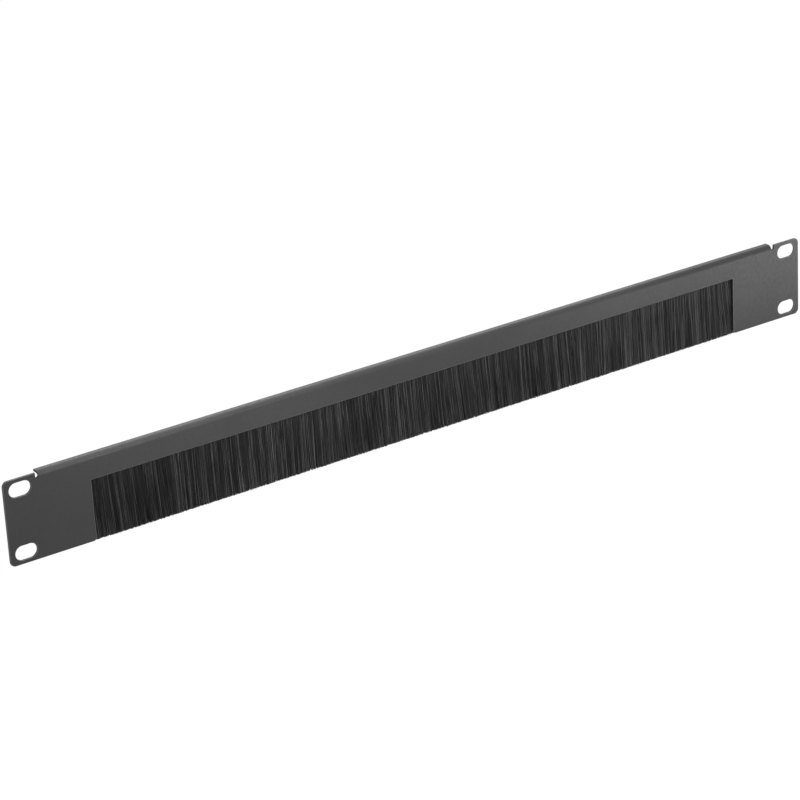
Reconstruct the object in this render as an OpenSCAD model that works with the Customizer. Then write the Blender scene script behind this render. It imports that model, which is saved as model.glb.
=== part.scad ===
// One-unit brush panel for a 19 inch rack.
// A folded steel front has a wide cut-out that is open at the bottom. A strip
// brush hangs behind it from the top bar, so cables pass through the filaments.
// X runs along the panel, -Y is the front, +Z is up, and all sizes are in mm.
// The origin is the centre of the four slots, on the back face of the ears.

/* [Panel] */
// Overall width of the front, from ear to ear
panel_w = 482.6; // [440:0.1:530]
// Height of the front
panel_h = 43; // [42:0.5:60]
// Thickness of the sheet
sheet_t = 1.2; // [0.8:0.1:2]
// Radius of the ears' outer corners
corner_r = 2.8; // [0.5:0.1:3.5]

// Width of an ear, from its outer edge to the cut-out
ear_w = 45.8; // [44:0.1:90]

/* [Mounting slots] */
// Distance from an ear's outer edge to the centre of its slots
slot_edge_x = 8.75; // [8:0.05:10]
// Distance from the top or bottom edge to the centre of a slot
slot_edge_z = 5.625; // [5:0.025:8]
// Length of a slot, from end to end
slot_l = 11.5; // [8:0.1:13]
// Width of a slot
slot_w = 7.2; // [5:0.1:7.8]

/* [Top fold] */
// Distance from an ear's outer edge to the end of the fold
fold_inset = 18.9; // [18:0.1:33]
// Depth of the fold, from the front face to its back edge
fold_depth = 5; // [4.6:0.1:6]
// Inside radius of the bend
bend_r = 1.4; // [0.5:0.1:2]
// Width of the relief notch at each end of the fold
relief_w = 1.8; // [1.5:0.1:3]
// How far the relief notch is cut below the bend
relief_extra = 0.1; // [0:0.1:1]

/* [Cut-out] */
// Radius of the ears' bottom corners at the cut-out
foot_r = 1.6; // [0.5:0.1:4]

/* [Brush strip] */
// How far the strip runs behind each ear
strip_overlap = 4; // [1:0.5:8]
// Height of the metal channel that holds the filaments
channel_h = 4.8; // [4:0.1:8]
// Thickness of the channel's metal
channel_t = 0.5; // [0.3:0.1:0.7]
// Outside radius of the channel's closed corners
channel_r = 0.9; // [0.2:0.1:1.4]
// Width of the channel's mouth between its two lips
mouth_w = 1.5; // [1:0.1:1.9]
// How far the mouth sits above the edge of the cut-out
mouth_inset = 0.2; // [0:0.1:1]
// Diameter of the core wire
core_d = 1; // [0.6:0.1:1.3]
// Width of one tuft of filaments
tuft_pitch = 1.2; // [1:0.1:4]
// Gap between two tufts at their tips
tuft_gap = 0.3; // [0.1:0.05:0.6]
// How unevenly the tips are cut
tip_ragged = 0.4; // [0:0.1:1.5]
// How far the tips hang below the ears
brush_drop = 0.7; // [0:0.1:3]
// How far the last tufts lean out at each end
end_lean = 3; // [0:0.1:5]
// Angle in degrees that the rear row stands out from the front row
row_splay = 2; // [0.5:0.5:6]

/* [Fixing] */
// Number of weld studs
stud_count = 6; // [4:1:8]
// Thread diameter of the studs
stud_d = 3; // [2.5:0.5:4]
// Length of the studs
stud_l = 10; // [9:0.5:16]
// Diameter of the weld flange at the foot of a stud
stud_flange_d = 4; // [3.6:0.1:6]
// Thickness of the weld flange
stud_flange_t = 0.7; // [0.4:0.1:1.5]
// Distance from the end of the strip to the first stud
stud_inset = 9.5; // [6:0.5:40]
// Thickness of the retaining bar
bar_t = 1.2; // [0.8:0.1:2]
// How far the bar runs past each end of the strip
bar_over = 3; // [0:0.5:6]
// How far the bar overlaps the back edge of the fold
bar_grip = 0.5; // [0.3:0.1:1]
// Radius of the bar's corners
bar_r = 2; // [0.5:0.1:4]
// Outside diameter of a washer
washer_d = 7; // [6:0.5:8]
// Thickness of a washer
washer_t = 0.5; // [0.3:0.1:1]
// Size of a nut across its flats
nut_af = 5.5; // [5:0.1:7]
// Height of a nut
nut_h = 2.4; // [1.6:0.1:3]

/* [Clearances] */
// Gap round the filaments and the core wire, and in the nuts' threads
fit_clear = 0.05; // [0.02:0.01:0.1]
// Gap between a stud's flange and the channel below or the bend above
stud_clear = 0.2; // [0.1:0.05:0.5]
// Gap between a stud and the hole that it passes through, all round
hole_clear = 0.2; // [0.1:0.05:0.4]

/* [Hidden] */
$fn = 48;
cut = 1;  // how far a cutting shape runs past the face that it cuts

// the sheet and its fold
top_z = panel_h / 2;
bottom_z = -panel_h / 2;
bend_outer_r = bend_r + sheet_t;
bend_z = top_z - bend_outer_r;
fold_y = fold_depth - sheet_t;
fold_under_z = top_z - sheet_t;
fold_w = panel_w - 2 * fold_inset;
relief_z = bend_z - relief_extra;
relief_x = (fold_w + relief_w) / 2;

// the slots and the cut-out between the ears
slot_pitch_x = panel_w - 2 * slot_edge_x;
slot_pitch_z = panel_h - 2 * slot_edge_z;
opening_w = panel_w - 2 * ear_w;

// the stack behind the top bar, from the bend down to the cut-out
stud_z = bend_z - stud_clear - stud_flange_d / 2;
channel_top_z = stud_z - stud_flange_d / 2 - stud_clear;
mouth_z = channel_top_z - channel_h;
opening_z = mouth_z - mouth_inset;

// the strip's channel fills the depth between the sheet and the bar
strip_l = opening_w + 2 * strip_overlap;
channel_d = fold_y;
strip_y = channel_d / 2;
inner_w = channel_d - 2 * channel_t;
inner_r = max(channel_r - channel_t, 0.1);
bundle_r = inner_w / 2 - fit_clear;
core_z = channel_top_z - channel_t - inner_w / 2;
bundle_w = mouth_w - 2 * fit_clear;
row_gap = 0.08;  // gap between the two rows, and how far each is inside the bundle
row_t = (bundle_w - 3 * row_gap) / 2;
front_row_y = strip_y - bundle_w / 2 + row_gap;
rear_row_y = strip_y + row_gap / 2;

// the tufts hang from the mouth
tip_z = bottom_z - brush_drop;
tuft_count = floor(strip_l / tuft_pitch);
slit_top = 1;     // how far below the mouth the tufts part from each other
wave_lean = 0.5;  // how far a slow wave along the strip sways the tips
wave_l = 47;      // length of that wave
second_wave_l = 17;
jitter = 0.35;    // share of the gap that a single tip strays to either side

// the fixing
bar_y = fold_y;
bar_top_z = fold_under_z + bar_grip;
bar_l = strip_l + 2 * bar_over;
washer_y = bar_y + bar_t;
nut_y = washer_y + washer_t;
stud_span = strip_l - 2 * stud_inset;
thread_chamfer = 0.4;
nut_chamfer_deg = 30;

// ---- helpers ----

// Stands a flat outline up: its x runs along the panel and its y runs up.
// The sheet that it gives is as thick as t and starts at y, going back.
module upright(y, t) {
    translate([0, y + t, 0]) rotate([90, 0, 0]) linear_extrude(t) children();
}

// Runs a section along the panel: its x points back and its y points up.
module along_panel(length) {
    rotate([90, 0, 90]) translate([0, 0, -length / 2]) linear_extrude(length) children();
}

// Turns a revolved piece so that its axis points back, at stud i.
module at_stud(i, y) {
    x = -stud_span / 2 + (i - 1) * stud_span / (stud_count - 1);
    translate([x, y, stud_z]) rotate([-90, 0, 0]) children();
}

// A rectangle from low to high whose corners are true arcs.
module rounded_rect(low, high, r) {
    size = high - low;
    translate([low.x + r, low.y]) square([size.x - 2 * r, size.y]);
    translate([low.x, low.y + r]) square([size.x, size.y - 2 * r]);
    for (x = [low.x + r, high.x - r], y = [low.y + r, high.y - r])
        translate([x, y]) circle(r);
}

// A slot with round ends that lies along x.
module slot_outline() {
    straight = slot_l - slot_w;
    square([straight, slot_w], center = true);
    for (side = [-1, 1]) translate([side * straight / 2, 0]) circle(slot_w / 2);
}

// ---- the folded front ----

// The cut-out runs out through the bottom edge. The corners that it leaves on
// the ears are rounded off.
module opening_outline() {
    half = opening_w / 2;
    translate([-half, bottom_z - cut]) square([opening_w, opening_z - bottom_z + cut]);
    for (side = [0, 1]) mirror([side, 0]) translate([half, bottom_z]) difference() {
        translate([0, -cut]) square([foot_r, foot_r + cut]);
        translate([foot_r, foot_r]) circle(foot_r);
    }
}

// The flat of the front: ears at full height, and lower between them, where
// the sheet runs on into the bend.
module face_outline() {
    difference() {
        rounded_rect([-panel_w / 2, bottom_z], [panel_w / 2, top_z], corner_r);
        translate([-fold_w / 2, bend_z]) square([fold_w, bend_outer_r + cut]);
        for (side = [-1, 1]) translate([side * relief_x, relief_z + relief_w / 2]) {
            circle(relief_w / 2);
            translate([-relief_w / 2, 0]) square([relief_w, panel_h / 2]);
        }
        for (x = [-1, 1], z = [-1, 1])
            translate([x * slot_pitch_x / 2, z * slot_pitch_z / 2]) slot_outline();
        opening_outline();
    }
}

// The section of the bend and of the short flange behind it.
module fold_section() {
    intersection() {
        translate([bend_r, bend_z]) difference() {
            circle(bend_outer_r);
            circle(bend_r);
        }
        translate([-sheet_t, bend_z]) square([bend_outer_r, bend_outer_r]);
    }
    translate([bend_r, fold_under_z]) square([fold_y - bend_r, sheet_t]);
}

module front_panel() {
    color("#3a3a3a") {
        upright(-sheet_t, sheet_t) face_outline();
        along_panel(fold_w) fold_section();
    }
}

// ---- the strip brush ----

// A folded metal channel. Its two lips grip the filaments at the mouth.
module brush_channel() {
    color("silver") along_panel(strip_l) difference() {
        rounded_rect([0, mouth_z], [channel_d, channel_top_z], channel_r);
        rounded_rect(
            [channel_t, mouth_z + channel_t],
            [channel_d - channel_t, channel_top_z - channel_t],
            inner_r
        );
        translate([strip_y - mouth_w / 2, mouth_z - cut]) square([mouth_w, channel_t + 2 * cut]);
    }
}

// The wire that the filaments are folded over.
module core_wire() {
    color("gray") along_panel(strip_l) translate([strip_y, core_z]) circle(core_d / 2);
}

// The packed filaments inside the channel: over the wire and down both sides
// of it to the mouth.
module bundle_section() {
    lip_z = mouth_z + channel_t;
    translate([strip_y, 0]) difference() {
        union() {
            intersection() {
                translate([0, core_z]) circle(bundle_r);
                translate([-bundle_r, core_z]) square([2 * bundle_r, bundle_r]);
            }
            polygon([
                [-bundle_r, core_z],
                [-bundle_w / 2, lip_z],
                [-bundle_w / 2, mouth_z],
                [bundle_w / 2, mouth_z],
                [bundle_w / 2, lip_z],
                [bundle_r, core_z]
            ]);
        }
        translate([0, core_z]) circle(core_d / 2 + fit_clear);
    }
}

// Where a filament that leaves the mouth at x ends up at tip height. The sway
// is slow, so neighbours never cross, and it grows towards both ends.
function tip_x(x, phase) =
    let (end_share = x / (strip_l / 2))
    x + wave_lean * sin(360 * x / wave_l + phase)
      + wave_lean / 3 * sin(360 * x / second_wave_l + 2 * phase)
      + end_lean * pow(end_share, 9);

// One row of tufts as a flat comb: the points of each tuft are its left root
// and the two corners of its tip.
module tuft_row(seed) {
    stray = rands(-jitter * tuft_gap, jitter * tuft_gap, tuft_count, seed);
    left_cut = rands(-tip_ragged, tip_ragged, tuft_count, seed + 1);
    right_cut = rands(-tip_ragged, tip_ragged, tuft_count, seed + 2);
    phase = 40 * seed;
    half = strip_l / 2 - row_gap;
    tuft_w = 2 * half / tuft_count;
    polygon([
        [half, mouth_z + channel_t / 2],
        [-half, mouth_z + channel_t / 2],
        for (i = [0 : tuft_count - 1])
            let (left = -half + i * tuft_w, right = left + tuft_w)
            each [
                [left, mouth_z - slit_top],
                [tip_x(left + tuft_gap / 2, phase) + stray[i], tip_z + left_cut[i]],
                [tip_x(right - tuft_gap / 2, phase) + stray[i], tip_z + right_cut[i]]
            ],
        [half, mouth_z - slit_top]
    ]);
}

module bristles() {
    color("#1c1c1c") {
        along_panel(strip_l) bundle_section();
        upright(front_row_y, row_t) tuft_row(seed = 1);
        translate([0, rear_row_y, mouth_z]) rotate([row_splay, 0, 0])
            translate([0, 0, -mouth_z]) upright(0, row_t) tuft_row(seed = 5);
    }
}

// ---- the fixing behind the top bar ----

// A flat bar that clamps the channel against the sheet. Its top edge bears on
// the back edge of the fold, so it stays square when the nuts are tightened.
module retaining_bar() {
    color("silver") upright(bar_y, bar_t) difference() {
        rounded_rect([-bar_l / 2, mouth_z], [bar_l / 2, bar_top_z], bar_r);
        for (i = [0 : stud_count - 1])
            translate([-stud_span / 2 + i * stud_span / (stud_count - 1), stud_z])
                circle(stud_d / 2 + hole_clear);
    }
}

// A stud welded to the back of the sheet, with its weld flange at the foot.
module weld_stud(i) {
    r = stud_d / 2;
    color("silver") at_stud(i, 0) rotate_extrude() polygon([
        [0, 0],
        [stud_flange_d / 2, 0],
        [stud_flange_d / 2, stud_flange_t],
        [r, stud_flange_t],
        [r, stud_l - thread_chamfer],
        [r - thread_chamfer, stud_l],
        [0, stud_l]
    ]);
}

module washer(i) {
    color("silver") at_stud(i, washer_y) difference() {
        cylinder(h = washer_t, d = washer_d);
        translate([0, 0, -cut]) cylinder(h = washer_t + 2 * cut, r = stud_d / 2 + hole_clear);
    }
}

// A hexagon nut with its corners turned down on both faces.
module hex_nut(i) {
    corner = nut_af / 2 / cos(30);
    drop = (corner - nut_af / 2) * tan(nut_chamfer_deg);
    color("silver") at_stud(i, nut_y) difference() {
        intersection() {
            cylinder(h = nut_h, r = corner, $fn = 6);
            rotate_extrude() polygon([
                [0, 0],
                [nut_af / 2, 0],
                [corner, drop],
                [corner, nut_h - drop],
                [nut_af / 2, nut_h],
                [0, nut_h]
            ]);
        }
        translate([0, 0, -cut]) cylinder(h = nut_h + 2 * cut, r = stud_d / 2 + fit_clear);
    }
}

// ---- what is drawn ----

front_panel();
brush_channel();
core_wire();
bristles();
retaining_bar();
for (i = [1 : stud_count]) {
    weld_stud(i);
    washer(i);
    hex_nut(i);
}
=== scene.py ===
# %% [markdown]
# # A brush panel for a server rack
#
# The object is one folded sheet of steel with a black powder coat, and a strip
# brush that hangs behind its cut-out. Cables pass through the brush, and its
# filaments close round them. The sheet, the brush's metal channel and the parts
# that clamp it come from the CAD frame at their real size. Blender adds what a
# solid model leaves out: the soft edges of a coated sheet, thousands of single
# filaments, the threads of the studs, and the finish of every surface.
#
# The first cell loads the frame and keeps its box, because nothing made later
# may reach outside it. All lengths in this script are in metres, unless the
# name of a value ends in _MM.

# %% Load the frame
import math
import random

import bmesh
import bpy
import numpy as np
from mathutils import Matrix, Vector


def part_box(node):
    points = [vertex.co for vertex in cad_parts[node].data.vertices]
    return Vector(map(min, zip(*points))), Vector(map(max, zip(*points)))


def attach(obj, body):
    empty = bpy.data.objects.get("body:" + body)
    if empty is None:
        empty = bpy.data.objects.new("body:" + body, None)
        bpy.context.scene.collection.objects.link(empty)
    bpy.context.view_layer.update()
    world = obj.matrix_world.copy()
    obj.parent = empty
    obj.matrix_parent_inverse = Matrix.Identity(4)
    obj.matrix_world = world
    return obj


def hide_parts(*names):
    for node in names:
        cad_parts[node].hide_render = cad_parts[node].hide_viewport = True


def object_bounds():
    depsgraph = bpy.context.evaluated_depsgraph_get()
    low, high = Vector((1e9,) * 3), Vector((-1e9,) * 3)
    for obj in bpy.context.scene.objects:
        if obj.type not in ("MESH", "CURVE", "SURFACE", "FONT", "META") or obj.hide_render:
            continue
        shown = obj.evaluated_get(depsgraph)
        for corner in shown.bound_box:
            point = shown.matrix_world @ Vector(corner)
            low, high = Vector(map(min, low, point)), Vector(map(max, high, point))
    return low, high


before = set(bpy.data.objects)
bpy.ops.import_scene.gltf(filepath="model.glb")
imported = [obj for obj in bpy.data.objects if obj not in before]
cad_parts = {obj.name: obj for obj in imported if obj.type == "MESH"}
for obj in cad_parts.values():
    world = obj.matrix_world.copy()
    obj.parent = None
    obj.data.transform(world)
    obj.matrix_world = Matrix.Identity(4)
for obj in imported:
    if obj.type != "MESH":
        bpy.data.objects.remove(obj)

MM = 0.001
cad_low, cad_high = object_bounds()
print("CAD box in mm:", [round(v / MM, 1) for v in (cad_high - cad_low)])

# %% [markdown]
# ## The camera
#
# The panel is seen from its front left and from above, through a long lens that
# is rolled a little. A camera could be placed with three Euler angles, but those
# are hard to read. It looks along its own -Z axis, so the script finds the view
# direction from an azimuth and an elevation, turns the camera to it with
# `to_track_quat`, and then rolls it about that axis.

# %% Camera
AZIMUTH = math.radians(33.85)
ELEVATION = math.radians(22.38)
ROLL = math.radians(-3.24)
DISTANCE = 1.571
AIM = Vector((-20.4, -1.2, 0.7)) * MM
LENS = 142.96
FAR_CLIP = 50

towards = Vector((
    math.sin(AZIMUTH) * math.cos(ELEVATION),
    math.cos(AZIMUTH) * math.cos(ELEVATION),
    -math.sin(ELEVATION),
))
turn = towards.to_track_quat("-Z", "Y").to_matrix().to_4x4()

camera_data = bpy.data.cameras.new("camera")
camera_data.lens = LENS
camera_data.clip_end = FAR_CLIP
camera = bpy.data.objects.new("camera", camera_data)
camera.matrix_world = (
    Matrix.Translation(AIM - towards * DISTANCE) @ turn @ Matrix.Rotation(ROLL, 4, "Z")
)
bpy.context.collection.objects.link(camera)
bpy.context.scene.camera = camera
print("camera at", [round(v, 3) for v in camera.matrix_world.translation])

# %% [markdown]
# ## The room
#
# A dark satin coat shows its surroundings more than its own colour, so the room
# matters as much as the lamps. A room of plain white would be the simplest, but
# its light comes from everywhere and hides what the lamps do. So the room lights
# the part at about half strength, and only the rays that look at it see white:
# those of the camera, those in a reflection and those through glass.


# %% Rays that look
def looking(tree):
    """A value that is 1 for a ray that looks at a surface, and 0 for one that lights it."""
    path = tree.nodes.new("ShaderNodeLightPath")
    seen = path.outputs["Is Camera Ray"]
    for ray in ("Is Glossy Ray", "Is Transmission Ray"):
        either = tree.nodes.new("ShaderNodeMath")
        either.operation = "MAXIMUM"
        tree.links.new(seen, either.inputs[0])
        tree.links.new(path.outputs[ray], either.inputs[1])
        seen = either.outputs[0]
    return seen


# %% World
ROOM_LIGHT = 0.55
WHITE = (1, 1, 1, 1)

world = bpy.data.worlds.new("room")
world.use_nodes = True
bpy.context.scene.world = world
bpy.context.scene.view_settings.view_transform = "Standard"

tree = world.node_tree
background = tree.nodes["Background"]
background.inputs["Color"].default_value = WHITE
strength = tree.nodes.new("ShaderNodeMapRange")
strength.inputs["To Min"].default_value = ROOM_LIGHT
strength.inputs["To Max"].default_value = 1.0
tree.links.new(looking(tree), strength.inputs["Value"])
tree.links.new(strength.outputs["Result"], background.inputs["Strength"])
print("room light", ROOM_LIGHT)

# %% [markdown]
# ### Lamps
#
# Small lamps would throw hard spots on a satin coat, so all of these are large
# discs. One hangs overhead, for the bend along the top edge. One stands in front
# and above, and a wide one behind keeps the fold and the back from going dark.
# Seen from above, a vertical sheet mirrors the floor, so two more lamps lie on
# the floor and face up. The wide one makes the sheet lighter towards its right
# end, and the small one gives the top bar a slow highlight left of its middle.

# %% Lamps
FLOOR_DROP = 25 * MM
LAMP_LIFT = 1 * MM
floor_z = cad_low.z - FLOOR_DROP


def soft_lamp(name, place, aim, size, power):
    """A round lamp that faces the point aim."""
    light = bpy.data.lights.new(name, "AREA")
    light.shape = "DISK"
    light.size = size
    light.energy = power
    lamp = bpy.data.objects.new(name, light)
    lamp.location = place
    facing = Vector(aim) - Vector(place)
    lamp.rotation_euler = facing.to_track_quat("-Z", "Y").to_euler()
    bpy.context.collection.objects.link(lamp)


def floor_lamp(name, x, y, size, power):
    """A round lamp that lies on the floor and faces up."""
    soft_lamp(name, (x, y, floor_z + LAMP_LIFT), (x, y, 1), size, power)


soft_lamp("overhead_lamp", (0.14, 0.05, 0.62), aim=(-0.1, 0, 0.02), size=0.44, power=1.6)
soft_lamp("front_lamp", (0.03, -0.48, 0.39), aim=(-0.2, 0, 0.02), size=0.4, power=1.8)
soft_lamp("rear_lamp", (0.75, 1.4, 0.75), aim=(0, 0, 0.02), size=1.2, power=7)
floor_lamp("low_lamp", 0.4, -0.28, size=0.48, power=1.6)
floor_lamp("low_fill", -0.03, -0.18, size=0.14, power=0.13)

# %% [markdown]
# ### Floor
#
# The floor should melt into the white room and still hold a shadow. Pale paint
# alone would render grey. So for the rays that look at it the floor is mostly a
# white glow, and a small share of paint under the glow keeps the shadow.

# %% Floor
FLOOR_HALF = 8

floor_mesh = bpy.data.meshes.new("floor")
bm = bmesh.new()
bmesh.ops.create_grid(bm, x_segments=1, y_segments=1, size=FLOOR_HALF)
bmesh.ops.translate(bm, verts=bm.verts, vec=(0, 0, floor_z))
bm.to_mesh(floor_mesh)
bm.free()
floor = bpy.data.objects.new("floor", floor_mesh)
bpy.context.collection.objects.link(floor)
print("floor at", round(floor_mesh.vertices[0].co.z / MM, 2), "mm")

# %% Floor paint
FLOOR_GREY = (0.8, 0.8, 0.8, 1)
FLOOR_ROUGHNESS = 0.9
FLOOR_GLOW = 1.05
SHADOW_SHARE = 0.12

floor_paint = bpy.data.materials.new("pale_floor")
floor_paint.use_nodes = True
tree = floor_paint.node_tree
paint = tree.nodes["Principled BSDF"]
paint.inputs["Base Color"].default_value = FLOOR_GREY
paint.inputs["Roughness"].default_value = FLOOR_ROUGHNESS
paint.inputs["Specular IOR Level"].default_value = 0.0
glow = tree.nodes.new("ShaderNodeEmission")
glow.inputs["Strength"].default_value = FLOOR_GLOW
share = tree.nodes.new("ShaderNodeMath")
share.operation = "MULTIPLY"
share.inputs[1].default_value = 1 - SHADOW_SHARE
mix = tree.nodes.new("ShaderNodeMixShader")
tree.links.new(looking(tree), share.inputs[0])
tree.links.new(share.outputs[0], mix.inputs["Fac"])
tree.links.new(paint.outputs["BSDF"], mix.inputs[1])
tree.links.new(glow.outputs["Emission"], mix.inputs[2])
tree.links.new(mix.outputs["Shader"], tree.nodes["Material Output"].inputs["Surface"])
floor_mesh.materials.append(floor_paint)
print("painted the floor, with a shadow share of", SHADOW_SHARE)

# %% [markdown]
# ## Finishes
#
# Each finish is a small node tree on the Principled shader. Image textures would
# need a UV map for every piece, so the patterns are noise that reads Object
# coordinates. Every object here sits at the origin, so those coordinates stay
# with the surface when the part is exported.
#
# Noise seldom leaves the middle of its range. Two helpers stretch that middle
# over the values or colours that a finish asks for.

# %% Helpers for finishes
MIDDLE_LOW = 0.3
MIDDLE_HIGH = 0.7


def finish(name, base, roughness, metallic=0.0, specular=0.5):
    """A new material, its tree and shader, and the object coordinates for its patterns."""
    material = bpy.data.materials.new(name)
    material.use_nodes = True
    tree = material.node_tree
    shader = tree.nodes["Principled BSDF"]
    shader.inputs["Base Color"].default_value = (*base, 1)
    shader.inputs["Roughness"].default_value = roughness
    shader.inputs["Metallic"].default_value = metallic
    shader.inputs["Specular IOR Level"].default_value = specular
    place = tree.nodes.new("ShaderNodeTexCoord")
    return material, tree, shader, place.outputs["Object"]


def noise(tree, place, scale, detail=2.0, stretch=(1, 1, 1)):
    """Noise that reads the object's own coordinates, stretched along an axis if asked."""
    mapping = tree.nodes.new("ShaderNodeMapping")
    mapping.inputs["Scale"].default_value = stretch
    texture = tree.nodes.new("ShaderNodeTexNoise")
    texture.inputs["Scale"].default_value = scale
    texture.inputs["Detail"].default_value = detail
    tree.links.new(place, mapping.inputs["Vector"])
    tree.links.new(mapping.outputs["Vector"], texture.inputs["Vector"])
    return texture.outputs["Fac"]


def ranged(tree, value, low, high):
    """The middle of a value's range, stretched to run from low to high."""
    node = tree.nodes.new("ShaderNodeMapRange")
    node.inputs["From Min"].default_value = MIDDLE_LOW
    node.inputs["From Max"].default_value = MIDDLE_HIGH
    node.inputs["To Min"].default_value = low
    node.inputs["To Max"].default_value = high
    tree.links.new(value, node.inputs["Value"])
    return node.outputs["Result"]


def tinted(tree, value, dark, light):
    """The middle of a value's range, stretched to run from a dark to a light colour."""
    ramp = tree.nodes.new("ShaderNodeValToRGB")
    ramp.color_ramp.elements[0].position = MIDDLE_LOW
    ramp.color_ramp.elements[0].color = (*dark, 1)
    ramp.color_ramp.elements[1].position = MIDDLE_HIGH
    ramp.color_ramp.elements[1].color = (*light, 1)
    tree.links.new(value, ramp.inputs["Fac"])
    return ramp.outputs["Color"]


def bumped(tree, height, distance, strength, shader):
    """Raises the surface by height times distance, in the shading alone."""
    bump = tree.nodes.new("ShaderNodeBump")
    bump.inputs["Distance"].default_value = distance
    bump.inputs["Strength"].default_value = strength
    tree.links.new(height, bump.inputs["Height"])
    tree.links.new(bump.outputs["Normal"], shader.inputs["Normal"])


# %% [markdown]
# ### Black powder coat
#
# Powder is sprayed on dry and melted in an oven, so the coat flows into shallow
# bumps a millimetre or two across. It is a dark neutral grey with a satin gloss,
# and the gloss varies a little from place to place. The bumps are too shallow to
# model, so they are a bump in the shading. Along a cut edge the small round
# catches a thin line of light. That line is painted: the round gets a lighter
# coat of its own, a painted highlight.

# %% Powder coat
GLOSS_SCALE = 14
COAT_BUMP_SCALE = 650
COAT_BUMP_HEIGHT = 0.06 * MM
COAT_BUMP_STRENGTH = 0.6
ROUGHNESS_SWING = 0.06


def coat(name, base, roughness, gloss_low, gloss_high):
    """A satin powder coat: soft bumps, and a gloss that drifts from place to place."""
    material, tree, shader, place = finish(name, base, roughness)
    gloss = ranged(tree, noise(tree, place, GLOSS_SCALE, detail=2), gloss_low, gloss_high)
    tree.links.new(gloss, shader.inputs["Specular IOR Level"])
    fine = noise(tree, place, COAT_BUMP_SCALE, detail=3)
    rough = ranged(tree, fine, roughness - ROUGHNESS_SWING, roughness + ROUGHNESS_SWING)
    tree.links.new(rough, shader.inputs["Roughness"])
    bumped(tree, fine, COAT_BUMP_HEIGHT, COAT_BUMP_STRENGTH, shader)
    print("made", material.name)
    return material


powder_coat = coat(
    "powder_coat", base=(0.016, 0.016, 0.0162), roughness=0.5, gloss_low=0.46,
    gloss_high=0.56,
)
# A lighter coat for the rounds along the edges: a painted highlight.
highlight_edge_coat = coat(
    "powder_coat_painted_highlight", base=(0.08, 0.08, 0.0805), roughness=0.4, gloss_low=0.5,
    gloss_high=0.6,
)

# %% [markdown]
# ### Nylon filament
#
# Each filament is a black nylon thread with a soft sheen along it. A noise would
# run across the threads, so the finish reads a `shade` attribute instead, which
# is stored on the mesh for each filament. It makes some threads a little lighter
# and glossier than others. Much of that lighter colour is painted sheen, for the
# light that threads catch at different turns, and painted light that grows
# towards the right end.

# %% Nylon
DARK_NYLON = (0.0015, 0.0015, 0.0016)
# The light end of the ramp is reached mostly by painted sheen and painted light.
LIGHT_TONE_AND_SHEEN = (0.11, 0.11, 0.111)

nylon, tree, shader, _ = finish(
    "nylon_filament", base=(0.01, 0.01, 0.0105), roughness=0.45, specular=0.3
)
shade = tree.nodes.new("ShaderNodeAttribute")
shade.attribute_name = "shade"
shade = shade.outputs["Fac"]
tree.links.new(tinted(tree, shade, DARK_NYLON, LIGHT_TONE_AND_SHEEN), shader.inputs["Base Color"])
tree.links.new(ranged(tree, shade, low=0.5, high=0.32), shader.inputs["Roughness"])
print("made", nylon.name)

# %% [markdown]
# ### Bare metal
#
# One grey metal would do from afar, but these two catch the light differently.
# The brush's channel is folded from galvanised strip, which is dull and faintly
# spangled, so its noise is even in all directions. The bar, studs, washers and
# nuts are zinc plated, which is smoother. Rolling leaves long faint marks on the
# bar, so this noise is stretched along X.

# %% Galvanised strip
galvanised, tree, shader, place = finish(
    "galvanised_steel", base=(0.56, 0.57, 0.58), roughness=0.45, metallic=1.0
)
spangle = noise(tree, place, scale=400, detail=1)
spangle_colour = tinted(tree, spangle, dark=(0.48, 0.49, 0.5), light=(0.62, 0.63, 0.64))
tree.links.new(spangle_colour, shader.inputs["Base Color"])
tree.links.new(ranged(tree, spangle, low=0.38, high=0.55), shader.inputs["Roughness"])
print("made", galvanised.name)

# %% Zinc plate
ROLLED = (0.25, 1, 1)
FINELY_ROLLED = (0.1, 1, 1)
ZINC_BUMP_HEIGHT = 0.02 * MM
ZINC_BUMP_STRENGTH = 0.3

zinc, tree, shader, place = finish(
    "zinc_plate", base=(0.5, 0.5, 0.495), roughness=0.34, metallic=1.0
)
marks = noise(tree, place, scale=120, detail=3, stretch=ROLLED)
marks_colour = tinted(tree, marks, dark=(0.44, 0.44, 0.435), light=(0.56, 0.56, 0.555))
tree.links.new(marks_colour, shader.inputs["Base Color"])
tree.links.new(ranged(tree, marks, low=0.28, high=0.42), shader.inputs["Roughness"])
fine = noise(tree, place, scale=900, detail=1, stretch=FINELY_ROLLED)
bumped(tree, fine, ZINC_BUMP_HEIGHT, ZINC_BUMP_STRENGTH, shader)
print("made", zinc.name)

# %% [markdown]
# ## The folded front
#
# The CAD sheet has knife-sharp edges. A real one is deburred, and its coat draws
# back into a small round along every edge, which catches a thin line of light.
# A Bevel modifier could round every edge at once. Here each edge is asked first
# where it lies, so the bevel is made in the mesh. The CAD mesh is copied, its
# loose triangles are joined into flat faces, and its sharp edges are rounded.
# The short edges beside the two notches stay sharp, because rounds of this width
# would cross there. The copy then stands for the CAD node.

# %% Soft edges for a copy of a CAD piece
MERGE = 0.001 * MM
FLAT_ANGLE = math.radians(0.5)
SHARP_ANGLE = math.radians(50)


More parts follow.
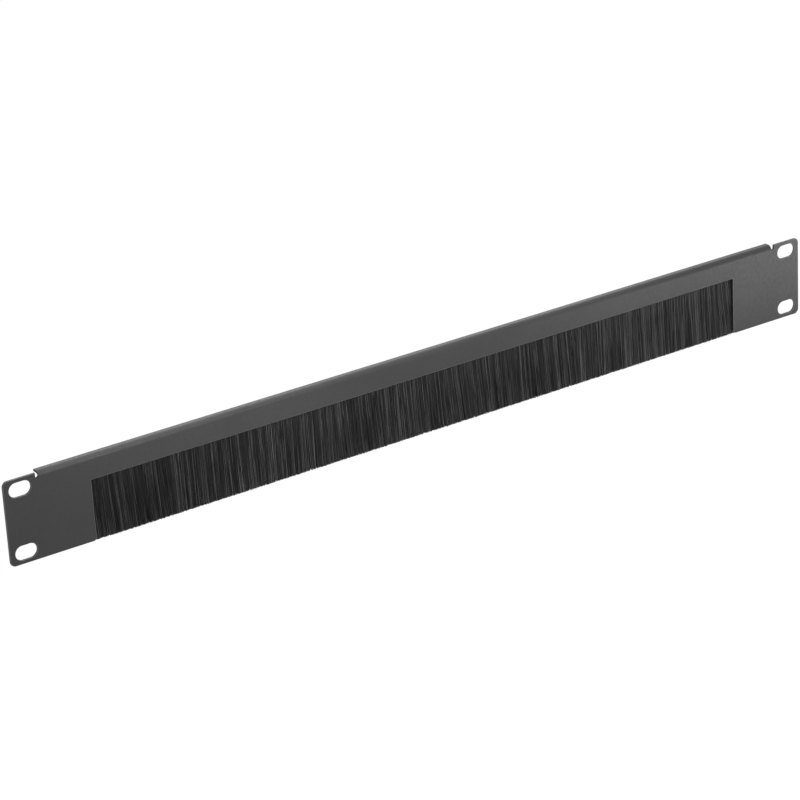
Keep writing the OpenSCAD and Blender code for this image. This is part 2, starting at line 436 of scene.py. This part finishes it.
def softened(node, name, radius, segments, materials, stays_sharp=None):
    """A copy of a CAD node whose sharp edges get a small round in the last material."""
    bm = bmesh.new()
    bm.from_mesh(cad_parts[node].data)
    bmesh.ops.remove_doubles(bm, verts=bm.verts, dist=MERGE)
    bmesh.ops.dissolve_limit(
        bm, angle_limit=FLAT_ANGLE, verts=bm.verts, edges=bm.edges, delimit={"NORMAL"}
    )
    for face in bm.faces:
        face.material_index = 0
    sharp = [e for e in bm.edges if e.is_manifold and e.calc_face_angle() > SHARP_ANGLE]
    if stays_sharp:
        sharp = [e for e in sharp if not stays_sharp(e)]
    rounds = bmesh.ops.bevel(
        bm, geom=sharp, offset=radius, offset_type="OFFSET", segments=segments,
        profile=0.5, affect="EDGES", material=-1, clamp_overlap=False,
    )
    # The rounds take the last material, which on the sheet is the painted highlight.
    for face in rounds["faces"]:
        face.material_index = len(materials) - 1
    mesh = bpy.data.meshes.new(name)
    bm.to_mesh(mesh)
    bm.free()
    for material in materials:
        mesh.materials.append(material)
    piece = bpy.data.objects.new(name, mesh)
    bpy.context.collection.objects.link(piece)
    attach(piece, "root")
    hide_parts(node)
    return piece


# %% Smooth shading for softened pieces
FLATS_FIRST = 100


def smooth_faces(piece):
    """Shades a piece smooth, while its large flat faces keep their flat look."""
    for face in piece.data.polygons:
        face.use_smooth = True
    weighted = piece.modifiers.new("flat_faces_first", "WEIGHTED_NORMAL")
    weighted.keep_sharp = True
    weighted.weight = FLATS_FIRST


# %% Front sheet
EDGE_ROUND = 0.3 * MM
NOTCH_X = 223.3 * MM
NOTCH_Z = 17 * MM
NOTCH_ZONE = 3 * MM


def beside_notch(edge):
    """Whether an edge is one of the short ones round the notch at either end of the fold."""
    near = all(
        abs(abs(v.co.x) - NOTCH_X) < NOTCH_ZONE and v.co.z > NOTCH_Z for v in edge.verts
    )
    return near and edge.calc_length() < NOTCH_ZONE


# The rounds along the sheet's edges get the painted highlight coat.
front_sheet = softened(
    "front_panel", "front_sheet", EDGE_ROUND, segments=3,
    materials=(powder_coat, highlight_edge_coat), stays_sharp=beside_notch,
)
smooth_faces(front_sheet)
print("front sheet:", len(front_sheet.data.polygons), "faces")

# %% [markdown]
# ## The filaments
#
# The CAD node holds the brush's outer form, cut into tufts. Here each filament
# is a thread of its own: a short curve that leaves the channel's mouth and hangs
# to the cut line. The stretch that a real one folds round the core wire is left
# out. The channel hides it, except at its two open ends, where the wire shows by
# itself. Blender's hair could grow the threads, but hair has no mesh that an
# export could write. So a curve with a square bevel makes them. It becomes a mesh
# at the end, so that each thread can carry its own shade.

# %% Measures of the brush
FILAMENT_R = 0.11 * MM
MOUTH_HALF = 0.65 * MM
TIP_CLEARANCE = 0.15 * MM
ROOT = 0.3 * MM

brush_low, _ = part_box("bristles")
channel_low, channel_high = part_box("brush_channel")
STRIP_HALF = (channel_high.x - channel_low.x) / 2 - FILAMENT_R
mouth_z = channel_low.z
mouth_y = (channel_low.y + channel_high.y) / 2
TIP_Z = brush_low.z + TIP_CLEARANCE
HANG = mouth_z - TIP_Z
print("filaments hang", round(HANG / MM, 1), "mm from the mouth")

# %% [markdown]
# ### Locks
#
# Filaments stick together in narrow locks, none of them a millimetre wide. Each
# lock has its own shade and lean and gathers a little towards its middle, which
# gives the brush its dark partings and light streaks. Chance alone, thread by
# thread, would give an even grey instead.

# %% Locks
LOCK_WIDTH_MM = (0.25, 0.9)
LOCK_LEAN_MM = 0.08
LOCK_GATHER = (0, 0.1)
LOCK_SHADE = (0.27, 0.32)


def make_locks(chance):
    """Locks side by side along the strip: each has its ends, its gather and its shade."""
    locks = []
    x = -STRIP_HALF
    while x < STRIP_HALF:
        width = chance.uniform(*LOCK_WIDTH_MM) * MM
        locks.append({
            "middle": x + width / 2,
            "end": x + width,
            "lean": chance.gauss(0, LOCK_LEAN_MM) * MM,
            "gather": chance.uniform(*LOCK_GATHER),
            "shade": chance.uniform(*LOCK_SHADE),
        })
        x += width
    return locks


print("about", len(make_locks(random.Random(0))), "locks in a row")

# %% [markdown]
# ### Lean
#
# The whole brush leans a little to the right. Slow waves of three lengths sway
# it from there, because a brush that has been packed and handled is never quite
# straight. At the right end no neighbour holds the last filaments, and they fan
# out past the strip.

# %% Lean
LEAN = 1.2 * MM
END_LEAN = 4.5 * MM
END_SHARPNESS = 12
SWAYS = ((250 * MM, 0.9 * MM, 0.82), (61 * MM, 0.4 * MM, 0), (17 * MM, 0.25 * MM, 2))


def tip_shift(x, lock):
    """How far sideways the tip of a filament lies from its root at x."""
    fan = END_LEAN * max(x / STRIP_HALF, 0) ** END_SHARPNESS
    sway = sum(
        size * math.sin(math.tau * x / length + start) for length, size, start in SWAYS
    )
    return LEAN + fan + sway + lock["lean"] + (lock["middle"] - x) * lock["gather"]


still = {"lean": 0, "middle": 0, "gather": 0}
leans = [tip_shift(share * STRIP_HALF, still) / MM for share in (-1, 0, 1)]
print("lean at the left, middle and right in mm:", [round(v, 1) for v in leans])

# %% [markdown]
# ### Threads
#
# A thread has only a few points and four sides, since there are thousands of
# them. Its lean grows almost evenly from root to tip, and a slight bend takes it
# out of line. The tips are a shade lighter, where the cut has left them rough.

# %% One thread
POINTS = 4
LEAN_CURVE = 1.1


def thread_curve(name):
    """An empty curve whose lines become threads with four sides and closed ends."""
    curve = bpy.data.curves.new(name, "CURVE")
    curve.dimensions = "3D"
    curve.bevel_depth = FILAMENT_R
    curve.bevel_resolution = 0
    curve.use_fill_caps = True
    return curve


def add_thread(curve, root, side, back, drop, bend):
    """A thread from its root in the mouth, which leans aside and back and bends a little."""
    x, y = root
    spline = curve.splines.new("POLY")
    spline.points.add(POINTS - 1)
    for k in range(POINTS):
        t = k / (POINTS - 1)
        reach = t ** LEAN_CURVE
        spline.points[k].co = (
            x + side * reach + bend * math.sin(math.pi * t),
            y + back * reach,
            mouth_z + ROOT - (drop + ROOT) * t,
            1,
        )


# %% From a curve to a mesh with shades
TIP_SPREAD = 1 * MM
TIP_SHADE = 0.06


def thread_mesh(name, curve, shades):
    """The curve as a mesh, whose shade attribute differs from thread to thread."""
    holder = bpy.data.objects.new(name, curve)
    bpy.context.collection.objects.link(holder)
    solid = holder.evaluated_get(bpy.context.evaluated_depsgraph_get())
    mesh = bpy.data.meshes.new_from_object(solid)
    bpy.data.objects.remove(holder)
    bpy.data.curves.remove(curve)
    mesh.name = name
    threads = np.repeat(np.array(shades), len(mesh.vertices) // len(shades))
    places = np.zeros(3 * len(mesh.vertices))
    mesh.vertices.foreach_get("co", places)
    at_tip = places[2::3] < TIP_Z + TIP_SPREAD
    layer = mesh.attributes.new("shade", "FLOAT", "POINT")
    layer.data.foreach_set("value", threads + TIP_SHADE * at_tip)
    for face in mesh.polygons:
        face.use_smooth = True
    return mesh


# %% [markdown]
# ### Rows
#
# Three rows, one behind the other, make the brush dense. The front row splays
# forwards and the others backwards. Where the strip runs on behind the ears, no
# thread splays forwards, which leaves more room behind the sheet. The cut is
# uneven by about half a millimetre, and one thread in ten is painted plainly
# lighter as painted sheen. The threads are also painted slowly lighter from the
# left end to the right: painted light, as if a lamp lit that end more.

# %% How the threads of a row differ
STRIP_OVERLAP = 4 * MM
EAR_MARGIN = 6.5 * MM
OPEN_HALF = STRIP_HALF - STRIP_OVERLAP - EAR_MARGIN
END_REACH = 2 * MM
SIDE_MM = 0.4
BACK_MM = 0.1
CUT_MM = (-0.5, 0.1)
BEND_MM = 0.1
SHEEN_SHARE = 0.1
SHEEN_LIGHTER = (0.2, 0.5)
PAINTED_LIGHT_DRIFT = 0.045
SHADE_SPREAD = 0.1
print("threads come forwards within", round(OPEN_HALF / MM, 1), "mm of the middle")

# %% One row of filaments
COUNT = 6500


def filament_row(name, y_near, y_far, splay, seed):
    """One row of filaments between two depths, which splays back by up to splay."""
    chance = random.Random(seed)
    locks = make_locks(chance)
    curve = thread_curve(name)
    shades = []
    place = 0
    step = 2 * STRIP_HALF / COUNT
    for i in range(COUNT):
        x = -STRIP_HALF + (i + chance.random()) * step
        while x > locks[place]["end"] and place < len(locks) - 1:
            place += 1
        lock = locks[place]
        y = y_near + (y_far - y_near) * chance.random()
        side = tip_shift(x, lock) + chance.gauss(0, SIDE_MM) * MM
        side = min(side, STRIP_HALF + END_REACH * chance.random() - x)
        back = splay * chance.random() + chance.gauss(0, BACK_MM) * MM
        if abs(x) > OPEN_HALF:
            back = max(back, 0)
        drop = HANG + chance.uniform(*CUT_MM) * MM
        bend = chance.gauss(0, BEND_MM) * MM
        add_thread(curve, (x, y), side, back, drop, bend)
        # One thread in ten is painted lighter: painted sheen for the light it catches.
        light = chance.uniform(*SHEEN_LIGHTER) if chance.random() < SHEEN_SHARE else 0
        # Painted light: the threads are painted lighter towards the right end, as if lit
        # more there.
        painted_drift = PAINTED_LIGHT_DRIFT * x / STRIP_HALF
        shade = lock["shade"] + painted_drift + light + chance.gauss(0, SHADE_SPREAD)
        shades.append(min(max(shade, 0), 1))
    mesh = thread_mesh(name, curve, shades)
    mesh.materials.append(nylon)
    piece = bpy.data.objects.new(name, mesh)
    bpy.context.collection.objects.link(piece)
    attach(piece, "root")
    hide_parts("bristles")
    print(name, COUNT, "filaments,", len(mesh.polygons), "faces")


# %% Front, middle and rear rows
THIRD = 2 * MOUTH_HALF / 3
front_y = mouth_y - MOUTH_HALF
filament_row("front_filaments", front_y, front_y + THIRD, splay=-0.5 * MM, seed=1)
filament_row(
    "middle_filaments", front_y + THIRD, front_y + 2 * THIRD, splay=0.5 * MM, seed=2
)
filament_row(
    "rear_filaments", front_y + 2 * THIRD, front_y + 3 * THIRD, splay=1.4 * MM, seed=3
)

# %% [markdown]
# ## Metal parts behind the sheet
#
# The bar, the washers and the brush's channel are copied and softened like the
# sheet, with a smaller round. Many short edges meet on a nut, so rounds would
# cross there, and little of the core wire shows. So the nuts and the wire keep
# their CAD mesh, and only their metal is set.

# %% Bar, channel and washers
SMALL_ROUND = 0.12 * MM
STUDS = len([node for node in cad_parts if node.startswith("weld_stud")])


def dressed(node, name, material):
    """A softened copy of a CAD node in one material."""
    piece = softened(node, name, SMALL_ROUND, segments=2, materials=(material,))
    smooth_faces(piece)


dressed("retaining_bar", "clamp_bar", zinc)
dressed("brush_channel", "folded_channel", galvanised)
for i in range(1, STUDS + 1):
    dressed(f"washer_{i}", f"plain_washer_{i}", zinc)
print("softened the bar, the channel and", STUDS, "washers")


# %% Nuts and core wire
def recoated(node, material):
    """Gives a CAD node that keeps its mesh a material of this scene."""
    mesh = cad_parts[node].data
    mesh.materials.clear()
    mesh.materials.append(material)


for i in range(1, STUDS + 1):
    recoated(f"hex_nut_{i}", zinc)
recoated("core_wire", galvanised)
print("gave a metal to", STUDS, "nuts and the core wire")

# %% [markdown]
# ### Threaded studs
#
# Each stud is welded to the back of the sheet by its flange and has a rolled M3
# thread. A bump in the shading would leave its outline smooth, so the thread is
# modelled. A lathe profile spun once makes the flange and the core, and merging
# the points that meet on the axis closes its two ends. The thread is one closed
# V, spun with a step along the axis. It is a little narrower than the pitch, so
# its turns don't touch. Its root lies just inside the core and both its ends get
# a face, so the whole stud is closed.

# %% Studs
STUD_R = 1.5 * MM
ROOT_R = 1.22 * MM
PITCH = 0.5 * MM
FLANGE_R = 2.0 * MM
FLANGE_T = 0.7 * MM
CHAMFER = 0.3 * MM
TURN_STEPS = 24
RIDGE_SHARE = 0.88
RIDGE = RIDGE_SHARE * PITCH
SUNK = 0.02 * MM
RIDGE_R = ROOT_R - SUNK
ALONG_Y = {"cent": (0, 0, 0), "axis": (0, 1, 0)}


def polyline(bm, points, closed=False):
    """Edges through the points, each of them a radius and a height along Y."""
    verts = [bm.verts.new((r, y, 0)) for r, y in points]
    ends = verts[1:] + verts[:1] if closed else verts[1:]
    edges = [bm.edges.new(pair) for pair in zip(verts, ends)]
    return verts + edges


def stud_mesh(name, low, high):
    """A stud along Y that fills the box from low to high, and the turns of its thread."""
    length = high.y - low.y
    middle = (low + high) / 2
    bm = bmesh.new()
    body = polyline(bm, [
        (0, 0), (FLANGE_R, 0), (FLANGE_R, FLANGE_T), (ROOT_R, FLANGE_T),
        (ROOT_R, length - CHAMFER), (ROOT_R - CHAMFER, length), (0, length),
    ])
    bmesh.ops.spin(
        bm, geom=body, dvec=(0, 0, 0), angle=math.tau, steps=TURN_STEPS,
        use_merge=True, **ALONG_Y,
    )
    turns = int((length - FLANGE_T - 2 * CHAMFER) / PITCH)
    ridge = polyline(bm, [
        (RIDGE_R, FLANGE_T), (STUD_R, FLANGE_T + RIDGE / 2), (RIDGE_R, FLANGE_T + RIDGE),
    ], closed=True)
    bmesh.ops.spin(
        bm, geom=ridge, dvec=(0, PITCH / TURN_STEPS, 0), angle=math.tau * turns,
        steps=turns * TURN_STEPS, **ALONG_Y,
    )
    bmesh.ops.remove_doubles(bm, verts=bm.verts, dist=MERGE)
    bmesh.ops.holes_fill(bm, edges=bm.edges, sides=3)
    bmesh.ops.recalc_face_normals(bm, faces=bm.faces)
    bmesh.ops.translate(bm, verts=bm.verts, vec=(middle.x, low.y, middle.z))
    mesh = bpy.data.meshes.new(name)
    bm.to_mesh(mesh)
    bm.free()
    mesh.materials.append(zinc)
    return mesh, turns


for i in range(1, STUDS + 1):
    mesh, turns = stud_mesh(f"threaded_stud_{i}", *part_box(f"weld_stud_{i}"))
    stud = bpy.data.objects.new(mesh.name, mesh)
    bpy.context.collection.objects.link(stud)
    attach(stud, "root")
    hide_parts(f"weld_stud_{i}")
print("threaded", STUDS, "studs with", turns, "turns each,", len(mesh.polygons), "faces")
